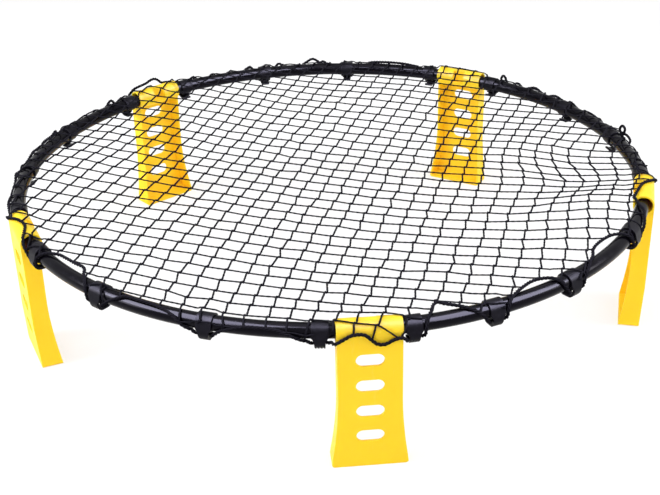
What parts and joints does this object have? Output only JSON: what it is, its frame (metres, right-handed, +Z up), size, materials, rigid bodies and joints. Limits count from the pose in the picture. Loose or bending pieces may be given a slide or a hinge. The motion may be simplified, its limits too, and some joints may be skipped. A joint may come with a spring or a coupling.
{
  "type": "low round net set",
  "caption": "Knotted net stretched over a ring of bent tube that stands on short moulded legs; the legs turn on the ring and fold in under the net.",
  "frame": {"origin": "on the ground, at the centre of the ring", "axes": "+Z up through the ring's centre; leg_1 stands towards -Y and the legs are numbered anticlockwise from above"},
  "size_m": [0.9182, 0.9239, 0.2015],
  "materials": {
    "leg_plastic": "smooth yellow moulding with a soft gloss",
    "tube_gloss": "glossy black tube",
    "hook_plastic": "satin black",
    "net_cord": "twisted and knotted black twine",
    "hem_cord": "thick twisted black cord, slightly hairy"
  },
  "bodies": {
    "ring": {"rim_tube_1": "tube_gloss", "rim_tube_2": "tube_gloss", "rim_tube_3": "tube_gloss", "rim_tube_4": "tube_gloss", "rim_tube_5": "tube_gloss", "net_hook_1": "hook_plastic", "net_hook_2": "hook_plastic", "net_hook_3": "hook_plastic", "net_hook_4": "hook_plastic", "net_hook_5": "hook_plastic", "net_hook_6": "hook_plastic", "net_hook_7": "hook_plastic", "net_hook_8": "hook_plastic", "net_hook_9": "hook_plastic", "net_hook_10": "hook_plastic", "net_hook_11": "hook_plastic", "net_hook_12": "hook_plastic", "net_hook_13": "hook_plastic", "net_hook_14": "hook_plastic", "net_hook_15": "hook_plastic", "net_hook_16": "hook_plastic", "net_hook_17": "hook_plastic", "net_hook_18": "hook_plastic", "net_hook_19": "hook_plastic", "net_hook_20": "hook_plastic", "net": "net_cord", "hem_rope": "hem_cord"},
    "leg_1": {"leg_1": "leg_plastic"},
    "leg_2": {"leg_2": "leg_plastic"},
    "leg_3": {"leg_3": "leg_plastic"},
    "leg_4": {"leg_4": "leg_plastic"},
    "leg_5": {"leg_5": "leg_plastic"}
  },
  "joints": [
    {"name": "leg_1_fold", "type": "hinge", "parent": "ring", "child": "leg_1", "pos_m": [0, -0.44624, 0.187], "axis": [1, 0, 0], "range_deg": [0, 85]},
    {"name": "leg_2_fold", "type": "hinge", "parent": "ring", "child": "leg_2", "pos_m": [0.4244, -0.1379, 0.187], "axis": [0.309, 0.9511, 0], "range_deg": [0, 85]},
    {"name": "leg_3_fold", "type": "hinge", "parent": "ring", "child": "leg_3", "pos_m": [0.26229, 0.36102, 0.187], "axis": [-0.809, 0.5878, 0], "range_deg": [0, 85]},
    {"name": "leg_4_fold", "type": "hinge", "parent": "ring", "child": "leg_4", "pos_m": [-0.26229, 0.36102, 0.187], "axis": [-0.809, -0.5878, 0], "range_deg": [0, 85]},
    {"name": "leg_5_fold", "type": "hinge", "parent": "ring", "child": "leg_5", "pos_m": [-0.4244, -0.1379, 0.187], "axis": [0.309, -0.9511, 0], "range_deg": [0, 85]}
  ]
}
